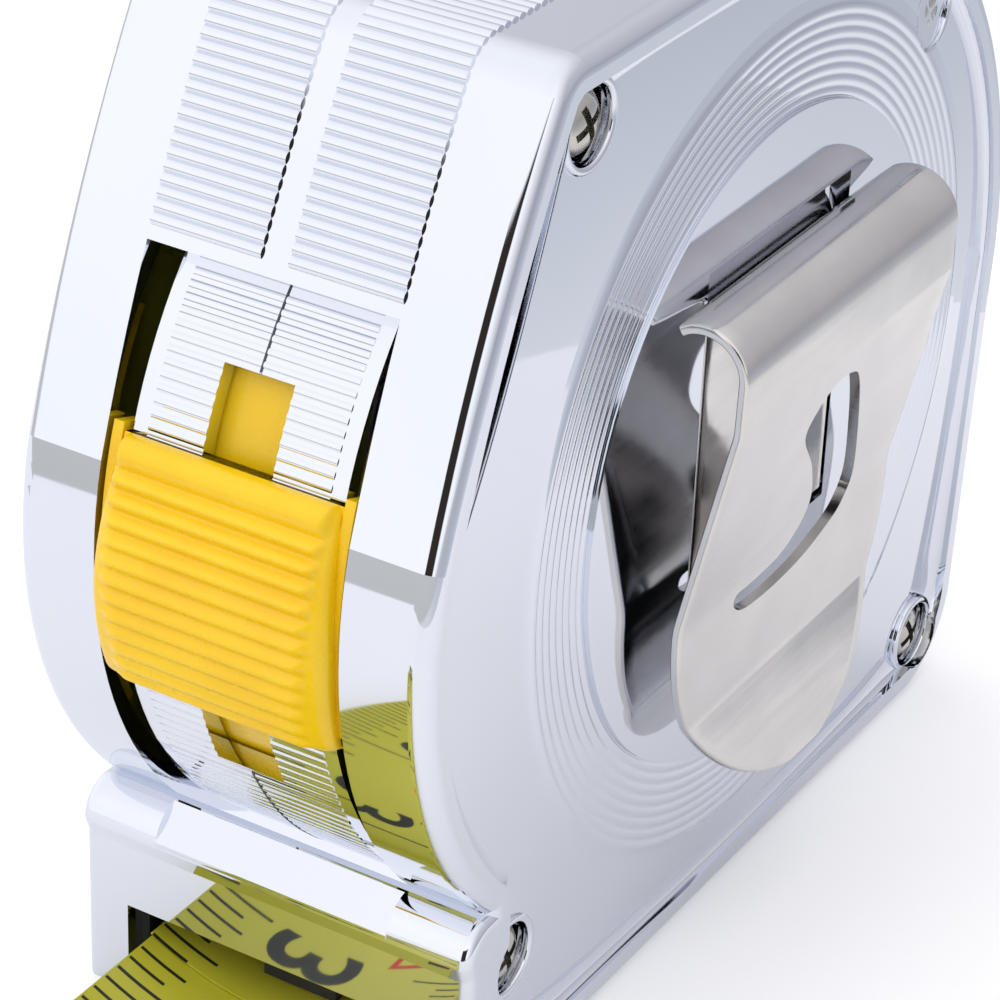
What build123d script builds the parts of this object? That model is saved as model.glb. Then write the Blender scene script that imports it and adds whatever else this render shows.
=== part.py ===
"""Pocket tape measure with a chrome case, a thumb lock, a spring reel and a belt clip.

+Z is up, the blade leaves towards -Y, the belt clip is on +X. The origin is on the flat base,
straight below the reel's axle and half way across the case. All sizes are in millimetres.
"""
from build123d import *
import math
import os

# Case: a flat base, a round back and top about the axle, a leaning face and a bulged front
CASE_HALF = 18.5          # half the width over the two side rims
AXLE_Z = 43.0             # height of the reel's axle above the base
CROWN_R = 44.7            # outside radius of the round back and top
FOOT_Y = 42.3             # where the back would meet the base if the corner were square
FOOT_R = 9.0              # round of the lower back corner
BULGE_Y = -14.5           # axis of the bulged front, on which the lock also turns
BULGE_Z = 45.0
BULGE_R = 37.0
CREASE_Z = 54.0           # where the bulge meets the leaning upper face
BROW_Y = -35.2            # where the upper face would meet the top if the corner were square
FACE_BOW = 1.1            # how far the upper face bows out from straight
BROW_R = 4.0              # round between the leaning face and the top
VALLEY_Z = 18.9           # where the bulge meets the nose
NOSE_Y = -43.7            # front of the nose, where the blade comes out
NOSE_LIP_Z = 15.7         # underside of the rounded lip on the nose
LIP_PROUD = 0.5
WALL = 2.0
FLOOR = 1.5
INNER_HALF = 16.3         # half the clear width inside
RIM_ROUND = 1.6
NOSE_ROUND = 1.0
DISH_RIM = 2.7            # width of the bead around each side
BOSS_X = 18.3             # face of the round boss on each side
BOSS_R = 28.2
RING_X = 17.75            # floor of the ringed zone around the boss
RING_R = 36.0
DISH_X = 17.0             # lowest floor of the dished side, out in its corners
DISH_R = 52.0

# Reeded band across the front, top and back, and the lock's track in it
BAND_HALF = 11.0
BAND_SEAM = 1.2           # plain strip each side of the seam
REED_PITCH = 1.0
REED_RISE = 0.28
BAND_LOW_Z = 70.8         # lower end of the band at the front
BAND_BACK_Z = 16.0        # lower end of the band at the back
TRACK_TOP_Z = 68.6        # top of the sunken track
BAR_HALF = 9.4            # half width of the bar between the two track slots
BAR_REED_HALF = 8.1
BAR_R = 36.0
BAR_INNER_R = 34.4
WINDOW_HALF = 3.1
WINDOW_LOW_Z = 28.9
WINDOW_HIGH_Z = 62.7

# Mouth, blade and hook
MOUTH_HALF = 14.2
MOUTH_TOP_Z = 8.5
BLADE_HALF = 12.5
BLADE_T = 0.2
BLADE_Z = 2.5             # underside of the blade along its middle
BLADE_CURVE_R = 27.5      # hollow of the blade across its width
BLADE_TAIL_Y = -41.2      # where the straight run ends, just inside the mouth
RUN_MOUTH_Y = -42.9       # front of the fixed stretch of blade above it
RUN_FLAT_Y = -34.5        # where that stretch has flattened out
HOOK_Y = -123.85          # face of the hook that meets the work
HOOK_T = 1.0
HOOK_PLAY = 1.0

# Reel
POST_R = 4.0
DRUM_R = 19.0
DRUM_WALL = 1.5
DRUM_HALF = 12.8
COIL_R = 30.0
RUNNING_FIT = 0.08

# Lock
SLIDER_HALF = 10.7
SLIDER_R = 38.4
SLIDER_LOW = -13.5        # degrees about the bulge's axis, from straight ahead
SLIDER_HIGH = 19.0
SLIDER_BROW = 3.8         # degrees taken by the broad plain rib along the top
SLIDER_RIBS = 12
SLIDER_LEG = 0.9

# Belt clip, a bent spring strip
CLIP_T = 0.9
CLIP_HALF = 18.2
CLIP_BEND_X = 21.45
CLIP_BEND_Z = 57.45
CLIP_BEND_R = 3.6         # to the middle of the strip
CLIP_LEG_HALF = 11.5
CLIP_LEG_LOW = 33.0
CLIP_END_Z = 32.7         # centre of the round lower end
CLIP_FLEX_GAP = 9.0       # degrees of the bend left open for the flex joint
CLIP_SLOT = [(2.3, 49.9), (3.6, 48.4), (7.4, 41.7), (10.4, 35.4), (9.6, 33.4), (5.2, 32.2), (0.6, 31.0),
             (-4.0, 30.2), (-8.2, 30.6), (-8.6, 31.6), (-6.6, 32.2), (-2.8, 33.6), (0.9, 35.6),
             (1.7, 38.0), (0.2, 40.6), (-3.0, 43.4), (-4.3, 45.6), (-3.2, 47.6), (-0.4, 49.6)]

# Screws that hold the two halves, as (y, z)
SCREWS = [(-30.3, 81.3), (-36.4, 12.1), (36.2, 5.3), (26.5, 71.0)]
SCREW_HEAD_R = 2.75
SCREW_SHANK_R = 1.2
SCREW_SEAT_X = 15.3
COUNTERBORE_R = 3.1
COLUMN_R = 2.6
CUP_R = 4.0
CUP_X = 13.3
BRAKE_PIVOT = SCREWS[1]


def side_face(lines):
    """A face seen from the side: its first coordinate is Y and its second is Z."""
    return Plane.YZ * make_face(lines)


def slab(face, low, high):
    """A side view face made solid between two planes across the case."""
    return Pos(low, 0, 0) * extrude(face, amount=high - low, dir=(1, 0, 0))


def both_sides(face, half):
    return slab(face, -half, half)


def block(x_low, x_high, y_low, y_high, z_low, z_high):
    size = (x_high - x_low, y_high - y_low, z_high - z_low)
    middle = ((x_low + x_high) / 2, (y_low + y_high) / 2, (z_low + z_high) / 2)
    return Pos(*middle) * Box(*size)


def rod(radius, x_low, x_high, y, z):
    """A round bar across the case."""
    return Pos((x_low + x_high) / 2, y, z) * Rot(0, 90, 0) * Cylinder(radius, x_high - x_low)


def ring(outer, inner, x_low, x_high, y=0.0, z=AXLE_Z):
    return rod(outer, x_low, x_high, y, z) - rod(inner, x_low - 1, x_high + 1, y, z)


def bulge_point(radius, degrees):
    """A point about the bulge's axis, with the angle measured up from straight ahead."""
    turn = math.radians(degrees)
    return (BULGE_Y - radius * math.cos(turn), BULGE_Z + radius * math.sin(turn))


def bulge_angle(radius, z):
    return math.degrees(math.asin((z - BULGE_Z) / radius))


def sector(inner, outer, low, high):
    """Side view of a stretch of ring about the bulge's axis."""
    centre = (BULGE_Y, BULGE_Z)
    outside = CenterArc(centre, outer, 180 - low, low - high)
    inside = CenterArc(centre, inner, 180 - low, low - high)
    return side_face([outside, inside, Line(outside @ 0, inside @ 0), Line(outside @ 1, inside @ 1)])


CREASE = bulge_point(BULGE_R, bulge_angle(BULGE_R, CREASE_Z))
VALLEY = bulge_point(BULGE_R, bulge_angle(BULGE_R, VALLEY_Z))
TOP_Z = AXLE_Z + CROWN_R
BROW = (BROW_Y, TOP_Z)


def rounded(face, y, z, radius):
    """The face with its corner nearest to the given point rounded."""
    corner = face.vertices().sort_by_distance((0, y, z))[0]
    return fillet(corner, radius)


def case_outline():
    crown = CenterArc((0, AXLE_Z), CROWN_R, 0, 90)
    bulge = CenterArc((BULGE_Y, BULGE_Z), BULGE_R, 180 - bulge_angle(BULGE_R, CREASE_Z),
                      bulge_angle(BULGE_R, CREASE_Z) - bulge_angle(BULGE_R, VALLEY_Z))
    foot = (FOOT_Y, 0)
    toe = (VALLEY[0], 0)
    chord = Line(BROW, CREASE)
    upper = ThreePointArc(BROW, chord @ 0.5 + chord.tangent_at(0).rotate(Axis.Z, -90) * FACE_BOW, CREASE)
    face = side_face([Line(toe, foot), Line(foot, crown @ 0), crown, Line(crown @ 1, BROW),
                      upper, bulge, Line(bulge @ 1, toe)])
    face = rounded(face, FOOT_Y, 0, FOOT_R)
    return rounded(face, BROW[0], BROW[1], BROW_R)


def nose_outline():
    """The block under the bulge, with a rounded lip above the mouth."""
    back = -30.0
    lip = ThreePointArc((NOSE_Y - LIP_PROUD, NOSE_LIP_Z), (NOSE_Y + 0.5, VALLEY_Z - 0.9),
                        (VALLEY[0] - 0.6, VALLEY_Z))
    edge = Polyline(lip @ 1, (back, VALLEY_Z), (back, 0), (NOSE_Y, 0), (NOSE_Y, NOSE_LIP_Z - 1.4), lip @ 0)
    return side_face([lip, edge])


def soften_sides(solid, radius):
    """Round the edges all the way around both side faces."""
    faces = solid.faces().sort_by(Axis.X)
    return fillet(faces[0].edges() + faces[-1].edges(), radius)


def reeds(points, rise, depth):
    """Side view of a strip along a row of points, outside to the left, topped by rounded reeds."""
    lines = []
    below = []
    for start, end in zip(points, points[1:]):
        step = Vector(*end) - Vector(*start)
        out = Vector(-step.Y, step.X).normalized()
        middle = (Vector(*start) + Vector(*end)) / 2
        lines.append(ThreePointArc(start, middle + out * rise, end))
        below.append(middle - out * depth)
    lines.append(Polyline(points[-1], *reversed(below), points[0]))
    return side_face(lines)


def stations(edge, pitch):
    """Evenly spaced points along an edge or wire."""
    count = round(edge.length / pitch)
    return [tuple(edge @ (i / count)) for i in range(count + 1)]


def band_stations():
    """Points a reed apart, up the front, over the top and down the back."""
    outline = case_outline().face().outer_wire()
    points = [(p[1], p[2]) for p in stations(outline, REED_PITCH)[:-1]]
    kept = [p[1] > (BAND_LOW_Z if p[0] < 0 else BAND_BACK_Z) for p in points]
    first = next(i for i in range(len(points)) if kept[i] and not kept[i - 1])
    turned = points[first:] + points[:first]
    row = turned[:sum(kept)]
    return row if row[0][0] < row[-1][0] else row[::-1]


def reeded_band():
    """Two reeded blocks on the case, one each side of the plain strip at the seam."""
    face = reeds(band_stations(), REED_RISE, 0.6)
    return slab(face, BAND_SEAM, BAND_HALF) + slab(face, -BAND_HALF, -BAND_SEAM)


def track_bar():
    """The reeded bar between the track's two slots, with its window."""
    low = bulge_angle(BAR_R, VALLEY_Z - 1.5)
    high = bulge_angle(BAR_R, TRACK_TOP_Z + 0.8)
    bar = both_sides(sector(BAR_INNER_R, BAR_R - 0.1, low, high), BAR_HALF)
    reed_low = bulge_angle(BAR_R, VALLEY_Z + 0.6)
    reed_high = bulge_angle(BAR_R, TRACK_TOP_Z)
    arc = CenterArc((BULGE_Y, BULGE_Z), BAR_R - REED_RISE, 180 - reed_low, reed_low - reed_high)
    bar += both_sides(reeds(stations(arc, REED_PITCH), REED_RISE, 0.5), BAR_REED_HALF)
    window_low = bulge_angle(BAR_R, WINDOW_LOW_Z)
    window_high = bulge_angle(BAR_R, WINDOW_HIGH_Z)
    return bar - both_sides(sector(BAR_INNER_R - 2, BAR_R + 2, window_low, window_high), WINDOW_HALF)


def nose_reeds():
    """Five fine reeds along the lip of the nose."""
    top = (VALLEY[0] - 1.2, VALLEY_Z)
    arc = ThreePointArc((NOSE_Y - LIP_PROUD, NOSE_LIP_Z + 0.2), (NOSE_Y + 0.5, VALLEY_Z - 0.9), top)
    return both_sides(reeds(stations(arc, REED_PITCH), 0.15, 0.4), BAND_HALF)


def dish_region():
    """The space above the side's flat boss, ringed zone and falling outer zone, about the axle."""
    outside = CASE_HALF + 1
    fall = Polyline((BOSS_X, 0), (BOSS_X, BOSS_R), (RING_X, BOSS_R), (RING_X, RING_R))
    slope = ThreePointArc(fall @ 1, ((RING_X + DISH_X) / 2, (RING_R + DISH_R) / 2 + 1), (DISH_X, DISH_R))
    rest = Polyline(slope @ 1, (DISH_X, 80), (outside, 80), (outside, 0), (BOSS_X, 0))
    profile = make_face([fall, slope, rest])
    return Pos(0, 0, AXLE_Z) * revolve(Plane.XY * profile, Axis.X)


def case_shell():
    """Both halves as one: the outside shape less the hollow, with every opening in the front."""
    outline = case_outline()
    body = soften_sides(both_sides(outline, CASE_HALF), RIM_ROUND)
    nose = soften_sides(both_sides(nose_outline(), CASE_HALF), NOSE_ROUND)
    shell = body + nose
    dish = slab(offset(outline, -DISH_RIM), DISH_X - 1, CASE_HALF + 2) & dish_region()
    shell -= dish
    shell -= mirror(dish, Plane.YZ)
    hollow = both_sides(offset(outline, -WALL), INNER_HALF)
    hollow += block(-INNER_HALF, INNER_HALF, NOSE_Y + WALL, -29, FLOOR, VALLEY_Z - WALL)
    shell -= hollow
    return shell


def cut_front(shell):
    """Open the mouth and sink the lock's track into the front."""
    shell += reeded_band() - both_sides(offset(case_outline(), -WALL), INNER_HALF)
    shell += nose_reeds()
    low = bulge_angle(BULGE_R, VALLEY_Z + 0.4)
    high = bulge_angle(BULGE_R, TRACK_TOP_Z)
    shell -= both_sides(sector(BAR_INNER_R - 1.4, BULGE_R + 12, low, high), BAND_HALF)
    ceiling = both_sides(sector(BAR_INNER_R, BULGE_R + 7, high, high + 4), BAND_HALF)
    shell += ceiling & both_sides(offset(case_outline(), -0.5), BAND_HALF)
    shell += track_bar()
    shell -= block(-MOUTH_HALF, MOUTH_HALF, NOSE_Y - 5, NOSE_Y + WALL + 1, FLOOR, MOUTH_TOP_Z)
    return shell


def screw_columns():
    """Posts inside the case for the four screws, and the raised rings around their heads."""
    columns = None
    for y, z in SCREWS:
        post = rod(COLUMN_R, -INNER_HALF - 0.5, CUP_X + 0.5, y, z)
        post += rod(CUP_R, CUP_X, INNER_HALF + 0.5, y, z)
        columns = post if columns is None else columns + post
    return columns


def screw_holes():
    holes = None
    for y, z in SCREWS:
        hole = rod(COUNTERBORE_R, SCREW_SEAT_X, CASE_HALF + 1, y, z)
        hole += rod(SCREW_SHANK_R + 0.15, 0, SCREW_SEAT_X + 1, y, z)
        hole += rod(SCREW_SHANK_R, -12, 0.5, y, z)
        holes = hole if holes is None else holes + hole
    return holes


def case_halves():
    """The left and right moulded halves, which meet on the middle plane."""
    shell = cut_front(case_shell())
    envelope = both_sides(offset(case_outline(), -0.4), CASE_HALF + 1)
    shell += screw_columns() & envelope
    socket = ring(POST_R + 2, POST_R, INNER_HALF - 2, INNER_HALF + 0.3)
    guide = ring(29, 27, INNER_HALF - 2.2, INNER_HALF + 0.3)
    shell += socket + guide + mirror(socket, Plane.YZ) + mirror(guide, Plane.YZ)
    shell -= screw_holes()
    shell -= block(BOSS_X - CLIP_T, CASE_HALF + 1, -CLIP_LEG_HALF - 0.4, CLIP_LEG_HALF + 0.4,
                   CLIP_LEG_LOW - 1, CLIP_BEND_Z + 5)
    shell += rod(1.5, BOSS_X - CLIP_T - 0.5, BOSS_X, 0, 38)
    right = shell & block(0, 40, -90, 90, -10, 120)
    left = shell & block(-40, 0, -90, 90, -10, 120)
    return left, right


def pan_screw(y, z):
    """A cross recessed pan head screw that enters from the clip side."""
    seat = SCREW_SEAT_X
    head = Polyline((seat, 0), (seat, SCREW_HEAD_R), (seat + 1.0, SCREW_HEAD_R))
    dome = ThreePointArc(head @ 1, (seat + 1.75, SCREW_HEAD_R * 0.72), (seat + 2.1, 0))
    outline = make_face([head, dome, Line(dome @ 1, head @ 0)])
    screw = Pos(0, y, z) * revolve(outline, Axis.X)
    screw += rod(SCREW_SHANK_R, -10, seat + 0.2, y, z)
    slot = Box(2.4, 0.7, 3.2) + Box(2.4, 3.2, 0.7)
    return screw - Pos(seat + 2.1, y, z) * Rot(25, 0, 0) * slot


def case_screws():
    return Compound(children=[pan_screw(y, z) for y, z in SCREWS])


def blade_strip(y_low, y_high, half=BLADE_HALF, base=BLADE_Z, thick=BLADE_T):
    """A straight run of strip with the blade's hollow across it."""
    spread = math.degrees(math.asin(half / BLADE_CURVE_R))
    centre = (0, base + BLADE_CURVE_R)
    under = CenterArc(centre, BLADE_CURVE_R, 270 - spread, 2 * spread)
    top = CenterArc(centre, BLADE_CURVE_R - thick, 270 - spread, 2 * spread)
    face = make_face([under, top, Line(under @ 0, top @ 0), Line(under @ 1, top @ 1)])
    return extrude(Plane.XZ.offset(-y_low) * face, amount=y_high - y_low, dir=(0, 1, 0))


RIVETS = [(-5.3, HOOK_Y + 9.0), (5.3, HOOK_Y + 9.0)]
RIVET_R = 0.9
RIVET_HEAD_R = 1.5
TONGUE_HALF = 7.5
TONGUE_T = 0.55


def rise_at(x):
    """How far the hollow blade has risen at a distance from its middle."""
    return BLADE_CURVE_R - math.sqrt(BLADE_CURVE_R ** 2 - x ** 2)


def blade():
    strip = blade_strip(HOOK_Y + HOOK_PLAY + 0.3, BLADE_TAIL_Y)
    for x, y in RIVETS:
        strip -= Pos(x, y, BLADE_Z) * Cylinder(RIVET_R, 4)
    return strip


def hook_rivets():
    """Two rivets that let the hook slide by its own thickness."""
    rivets = []
    for x, y in RIVETS:
        outer_rise = rise_at(abs(x) + RIVET_HEAD_R)
        inner_rise = rise_at(abs(x) - RIVET_HEAD_R)
        head_z = BLADE_Z + BLADE_T + outer_rise
        foot_z = BLADE_Z - 0.1 - TONGUE_T + inner_rise - 0.1
        shaft = Pos(x, y, (head_z + foot_z) / 2) * Cylinder(RIVET_R, head_z - foot_z)
        head = Pos(x, y, head_z + 0.2) * Cylinder(RIVET_HEAD_R, 0.4)
        head = fillet(head.faces().sort_by(Axis.Z)[-1].edges(), 0.3)
        foot = Pos(x, y, foot_z - 0.15) * Cylinder(RIVET_HEAD_R, 0.3)
        rivets.append(shaft + head + foot)
    return Compound(children=rivets)


def end_hook():
    """A bent steel end: a slotted tongue under the blade and a plate across its end."""
    tongue = blade_strip(HOOK_Y - 0.5, HOOK_Y + 13, TONGUE_HALF, BLADE_Z - 0.1 - TONGUE_T, TONGUE_T)
    for x, y in RIVETS:
        slot = SlotCenterToCenter(HOOK_PLAY, 2 * RIVET_R + 0.2, rotation=90)
        tongue -= Pos(x, y - HOOK_PLAY / 2, -1) * extrude(slot, amount=6)
    plate = Polyline((-7.2, 0.3), (7.2, 0.3), (9.6, 3.2), (8.6, 8.0), (-8.6, 8.0), (-9.6, 3.2), close=True)
    face = fillet(make_face(plate).vertices(), 1.2)
    end = extrude(Plane.XZ.offset(-(HOOK_Y - HOOK_T)) * face, amount=HOOK_T, dir=(0, 1, 0))
    end -= Pos(0, HOOK_Y - HOOK_T / 2, 5.9) * Box(3.0, 3, 1.6)
    return end + (tongue - block(-9, 9, HOOK_Y - 2, HOOK_Y - 0.5, 0, 9))


def blade_run():
    """The blade between the coil and the mouth, which only slides along itself."""
    hollow = blade_strip(RUN_MOUTH_Y, RUN_FLAT_Y, base=BLADE_Z + BLADE_T + 0.15)
    rim_z = BLADE_Z + 2 * BLADE_T + 0.15 + rise_at(BLADE_HALF)
    points = [(0.0, AXLE_Z - COIL_R - 0.45), (-14.0, 12.2), (-26.0, 8.9), (RUN_FLAT_Y - 1, rim_z - BLADE_T)]
    lifted = [(y, z + BLADE_T) for y, z in reversed(points)]
    return both_sides(side_face(Polyline(*points, *lifted, close=True)), BLADE_HALF) + hollow


def reel_drum():
    """The cup that the blade is wound on, with one closed side."""
    cup = ring(DRUM_R, DRUM_R - DRUM_WALL, -DRUM_HALF, DRUM_HALF)
    return cup + ring(DRUM_R - DRUM_WALL, POST_R + RUNNING_FIT, -DRUM_HALF, -DRUM_HALF + 1.4)


def drum_cover():
    return ring(DRUM_R - DRUM_WALL, POST_R + RUNNING_FIT, DRUM_HALF - 1.4, DRUM_HALF)


def power_spring():
    """The wound spring inside the drum, as the ring that its turns fill."""
    return ring(DRUM_R - DRUM_WALL - 1.2, 9.0, -DRUM_HALF + 1.9, DRUM_HALF - 1.9)


def spring_pin():
    """The pin that holds the spring's outer end against the drum's wall."""
    return rod(0.5, -DRUM_HALF + 1.4, DRUM_HALF - 1.4, 0, AXLE_Z + DRUM_R - DRUM_WALL - 0.55)


def lock_slider():
    """The thumb piece: a cap over the bar with soft ribs, and a leg in each slot."""
    root = SLIDER_R - 0.5
    deep = SLIDER_R - 1.2
    cap = both_sides(sector(BAR_R + 0.4, deep + 0.1, SLIDER_LOW, SLIDER_HIGH), SLIDER_HALF)
    pitch = (SLIDER_HIGH - SLIDER_BROW - SLIDER_LOW) / SLIDER_RIBS
    marks = [SLIDER_LOW + i * pitch for i in range(SLIDER_RIBS + 1)] + [SLIDER_HIGH]
    crests = [ThreePointArc(bulge_point(root, low), bulge_point(SLIDER_R, (low + high) / 2),
                            bulge_point(root, high)) for low, high in zip(marks, marks[1:])]
    back = CenterArc((BULGE_Y, BULGE_Z), deep, 180 - SLIDER_HIGH, SLIDER_HIGH - SLIDER_LOW)
    face = side_face([*crests, back, Line(crests[-1] @ 1, back @ 0), Line(back @ 1, crests[0] @ 0)])
    cap += both_sides(face, SLIDER_HALF)
    leg = sector(BAR_INNER_R - 0.3, BAR_R + 0.6, SLIDER_LOW + 2, SLIDER_HIGH - 3)
    for low in (-SLIDER_HALF, SLIDER_HALF - SLIDER_LEG):
        cap += slab(leg, low, low + SLIDER_LEG)
    return cap


def lock_carrier():
    """The plate behind the bar that the thumb piece clips to, seen through the window."""
    outer = BAR_INNER_R - 0.3
    plate = both_sides(sector(outer - 1.5, outer, -28, 33), BAR_HALF - 0.6)
    wings = both_sides(sector(outer - 1.5, outer, SLIDER_LOW + 2, SLIDER_HIGH - 3), SLIDER_HALF)
    tail = both_sides(sector(outer - 1.5, outer, -41, -28), 3.0)
    stem = both_sides(sector(outer - 0.2, BAR_R + 0.4, -6, 9), WINDOW_HALF - 0.3)
    return plate + wings + tail + stem


def brake_lever():
    """A rocker on the lower front screw post, with one arm up and one arm down to the pad."""
    y, z = BRAKE_PIVOT
    hub = ring(COLUMN_R + 1.6, COLUMN_R + RUNNING_FIT, -5, 5, y, z)
    down = block(-3.5, 3.5, y - 2.9, y - 1.7, z - 7.2, z - 2.5)
    up = block(-3.0, 3.0, y + 0.0, y + 1.2, z + 3.0, z + 7.4)
    return hub + down + up


def brake_pad():
    y, z = BRAKE_PIVOT
    return block(-3.5, 3.5, y - 3.2, y - 1.4, BLADE_Z + 1.2, z - 7.2)


def clip_section(points, start_angle, arc_size):
    """Side section of the clip's strip: part of the bend, then a run of straights."""
    bend = CenterArc((CLIP_BEND_X, CLIP_BEND_Z), CLIP_BEND_R, start_angle, arc_size)
    run = FilletPolyline(bend @ 1, *points, radius=8) if len(points) > 2 else Line(bend @ 1, points[0])
    return strip_face([bend, *run.edges()])


def strip_face(edges):
    """A face of the clip's thickness along a chain of edges in the X-Z plane."""
    wire = Wire(edges)
    count = 60
    left = [wire @ (i / count) + side_of(wire, i / count) for i in range(count + 1)]
    right = [wire @ (i / count) - side_of(wire, i / count) for i in range(count + 1)]
    return Plane.XZ * make_face(Polyline(*left, *reversed(right), close=True))


def side_of(wire, where):
    along = wire % where
    return Vector(-along.Y, along.X) * (CLIP_T / 2)


def clip_leaf():
    """The outer leaf, with a round lower end, a flared lip and a tongue freed by a curved slot."""
    run = [(24.95, 53.0), (20.85, 34.0), (20.9, 23.9), (23.95, 14.6)]
    face = clip_section(run, 90 - CLIP_FLEX_GAP, CLIP_FLEX_GAP - 90)
    leaf = extrude(face, amount=CLIP_HALF, both=True)
    foot = Pos(0, 0, CLIP_END_Z) * Rot(0, 90, 0) * Cylinder(CLIP_HALF, 90)
    leaf &= foot + block(-45, 45, -CLIP_HALF, CLIP_HALF, CLIP_END_Z, 90)
    return leaf - slab(side_face(Spline(*CLIP_SLOT, periodic=True)), 15, 30)


def clip_leg():
    """The inner leg, held in its pocket in the side boss by a moulded nub."""
    bend = CenterArc((CLIP_BEND_X, CLIP_BEND_Z), CLIP_BEND_R, 90, 90)
    down = Line(bend @ 1, (CLIP_BEND_X - CLIP_BEND_R, CLIP_LEG_LOW))
    leg = extrude(strip_face([bend, down]), amount=CLIP_HALF, both=True)
    narrow = block(0, 30, -CLIP_LEG_HALF, CLIP_LEG_HALF, 0, 90)
    leg &= narrow + block(BOSS_X + 0.3, 30, -CLIP_HALF, CLIP_HALF, CLIP_BEND_Z, 90)
    return leg - rod(1.55, 10, 30, 0, 38)


def mouth_lining():
    """The dark frame behind the mouth."""
    front = NOSE_Y + WALL
    frame = block(-INNER_HALF + 0.1, INNER_HALF - 0.1, front, front + 1.1, FLOOR, 12.0)
    return frame - block(-13.5, 13.5, front - 1, front + 2, FLOOR - 1, 9.0)


def label_disc():
    """A plain trim disc on the side away from the clip."""
    disc = rod(26.5, -BOSS_X - 0.4, -BOSS_X, 0, AXLE_Z)
    return fillet(disc.faces().sort_by(Axis.X)[0].edges(), 0.25)


def washer(x_low):
    return ring(COIL_R + 1, DRUM_R + 0.5, x_low, x_low + 0.3)


def write(name, shape):
    export_step(shape, f"parts/{name}.step")
    print(f"{name:18s} {shape.volume:10.1f} mm3")


os.makedirs("parts", exist_ok=True)
left_half, right_half = case_halves()
write("case_half_left", left_half)
write("case_half_right", right_half)
write("case_screws", case_screws())
write("centre_post", rod(POST_R, -INNER_HALF, INNER_HALF, 0, AXLE_Z))
write("mouth_lining", mouth_lining())
write("label_disc", label_disc())
write("belt_clip_leg", clip_leg())
write("blade_run", blade_run())
write("reel_drum", reel_drum())
write("drum_cover", drum_cover())
write("power_spring", power_spring())
write("spring_pin", spring_pin())
write("blade_coil", ring(COIL_R, DRUM_R, -BLADE_HALF, BLADE_HALF))
write("reel_washer_left", washer(-13.3))
write("reel_washer_right", washer(13.0))
write("blade", blade())
write("hook_rivets", hook_rivets())
write("end_hook", end_hook())
write("lock_slider", lock_slider())
write("lock_carrier", lock_carrier())
write("brake_lever", brake_lever())
write("brake_pad", brake_pad())
write("belt_clip_leaf", clip_leaf())
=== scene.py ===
"""Looks of a chrome pocket tape measure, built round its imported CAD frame. Units are metres."""
import math

import bmesh
import bpy
from mathutils import Matrix, Vector

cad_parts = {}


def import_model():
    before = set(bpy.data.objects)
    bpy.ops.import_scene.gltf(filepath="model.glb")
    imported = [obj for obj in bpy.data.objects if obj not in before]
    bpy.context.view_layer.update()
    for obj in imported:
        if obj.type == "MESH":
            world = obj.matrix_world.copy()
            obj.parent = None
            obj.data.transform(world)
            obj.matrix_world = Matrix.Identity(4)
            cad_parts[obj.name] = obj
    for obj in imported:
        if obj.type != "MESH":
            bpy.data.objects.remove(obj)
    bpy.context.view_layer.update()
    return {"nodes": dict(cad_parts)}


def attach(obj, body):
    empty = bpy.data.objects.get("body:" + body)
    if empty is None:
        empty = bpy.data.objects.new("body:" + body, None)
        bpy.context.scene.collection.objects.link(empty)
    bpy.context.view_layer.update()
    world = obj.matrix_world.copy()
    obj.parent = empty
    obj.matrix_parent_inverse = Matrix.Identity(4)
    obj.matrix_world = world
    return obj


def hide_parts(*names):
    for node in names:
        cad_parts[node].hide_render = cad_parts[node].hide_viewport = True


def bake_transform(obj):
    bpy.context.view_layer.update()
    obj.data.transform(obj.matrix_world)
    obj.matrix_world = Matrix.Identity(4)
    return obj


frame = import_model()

MM = 0.001

# The places that the pieces here share with the CAD, in millimetres
AXLE_Z = 43.0
BULGE_Y, BULGE_Z = -14.5, 45.0
BLADE_Z, BLADE_T, BLADE_CURVE_R, BLADE_HALF = 2.5, 0.2, 27.5, 12.5
HOOK_Y = -123.85
RUN_MOUTH_Y, RUN_FLAT_Y, RUN_LIFT = -42.9, -34.5, 0.35      # the fixed stretch just inside the mouth
CROWN_R, TOP_Z = 44.7, 87.7
BULGE_R, CREASE, VALLEY = 37.0, (-50.39, 54.0), (-40.73, 18.9)
BROW, BROW_R, FACE_BOW = (-35.2, 87.7), 4.0, 1.1
FOOT, FOOT_R = (42.3, 0.0), 9.0
SCREWS = [(-30.3, 81.3), (-36.4, 12.1), (36.2, 5.3), (26.5, 71.0)]
HOLE_R = 3.15


# ---------------------------------------------------------------- materials

def new_material(name, colour, metallic=0.0, roughness=0.4):
    """A principled material, its node tree and its shader."""
    mat = bpy.data.materials.new(name)
    mat.use_nodes = True
    tree = mat.node_tree
    shader = tree.nodes["Principled BSDF"]
    shader.inputs["Base Color"].default_value = (*colour, 1)
    shader.inputs["Metallic"].default_value = metallic
    shader.inputs["Roughness"].default_value = roughness
    return mat, tree, shader


def noise(tree, scale, detail=4.0, rough=0.5, stretch=(1, 1, 1), distortion=0.0):
    """A noise texture in the object's own coordinates, in metres."""
    coord = tree.nodes.new("ShaderNodeTexCoord")
    mapping = tree.nodes.new("ShaderNodeMapping")
    mapping.inputs["Scale"].default_value = stretch
    tex = tree.nodes.new("ShaderNodeTexNoise")
    tex.inputs["Scale"].default_value = scale
    tex.inputs["Detail"].default_value = detail
    tex.inputs["Roughness"].default_value = rough
    tex.inputs["Distortion"].default_value = distortion
    tree.links.new(coord.outputs["Object"], mapping.inputs["Vector"])
    tree.links.new(mapping.outputs["Vector"], tex.inputs["Vector"])
    return tex.outputs["Fac"]


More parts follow.
